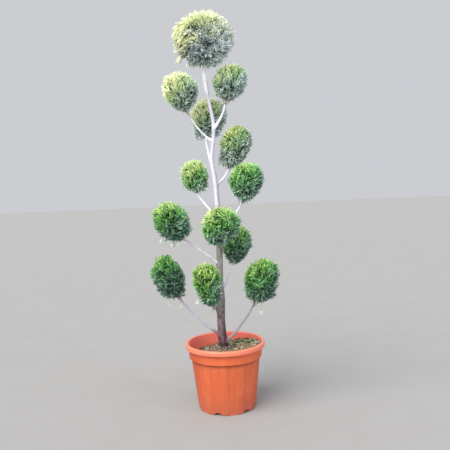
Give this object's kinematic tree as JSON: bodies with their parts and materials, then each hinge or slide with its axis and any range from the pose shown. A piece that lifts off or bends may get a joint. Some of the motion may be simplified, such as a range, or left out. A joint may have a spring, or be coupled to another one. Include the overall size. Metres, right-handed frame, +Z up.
{
  "type": "potted leyland cypress pompom topiary",
  "caption": "Conifer trained as pompom topiary in a round fluted plastic pot: a wavy bare trunk, thin upswept boughs and a clipped ball of foliage on each tip.",
  "frame": {"origin": "centre of the pot's flat underside", "axes": "+Z up the plant, -Y towards its front, +X to the right as it is seen from the front"},
  "size_m": [0.4901, 0.3535, 1.4736],
  "materials": {
    "pot_plastic": "terracotta-coloured, matt",
    "compost": "dark crumbly compost",
    "trunk_bark": "flaky mauve-grey bark",
    "bough_bark": "smooth pale bark",
    "foliage": "flat sprays of scale leaves"
  },
  "bodies": {
    "root": {"pot": "pot_plastic", "soil": "compost", "trunk": "trunk_bark", "bough_upper_left": "bough_bark", "bough_upper_right": "bough_bark", "bough_upper_rear": "bough_bark", "bough_middle_right": "bough_bark", "bough_middle_left": "bough_bark", "bough_lower_right": "bough_bark", "bough_lower_left": "bough_bark", "bough_front": "bough_bark", "bough_rear": "bough_bark", "bough_foot_left": "bough_bark", "bough_foot_front": "bough_bark", "bough_foot_right": "bough_bark", "pompom_crown": "foliage", "pompom_upper_left": "foliage", "pompom_upper_right": "foliage", "pompom_upper_rear": "foliage", "pompom_middle_right": "foliage", "pompom_middle_left": "foliage", "pompom_lower_right": "foliage", "pompom_lower_left": "foliage", "pompom_front": "foliage", "pompom_rear": "foliage", "pompom_foot_left": "foliage", "pompom_foot_front": "foliage", "pompom_foot_right": "foliage"}
  },
  "joints": []
}
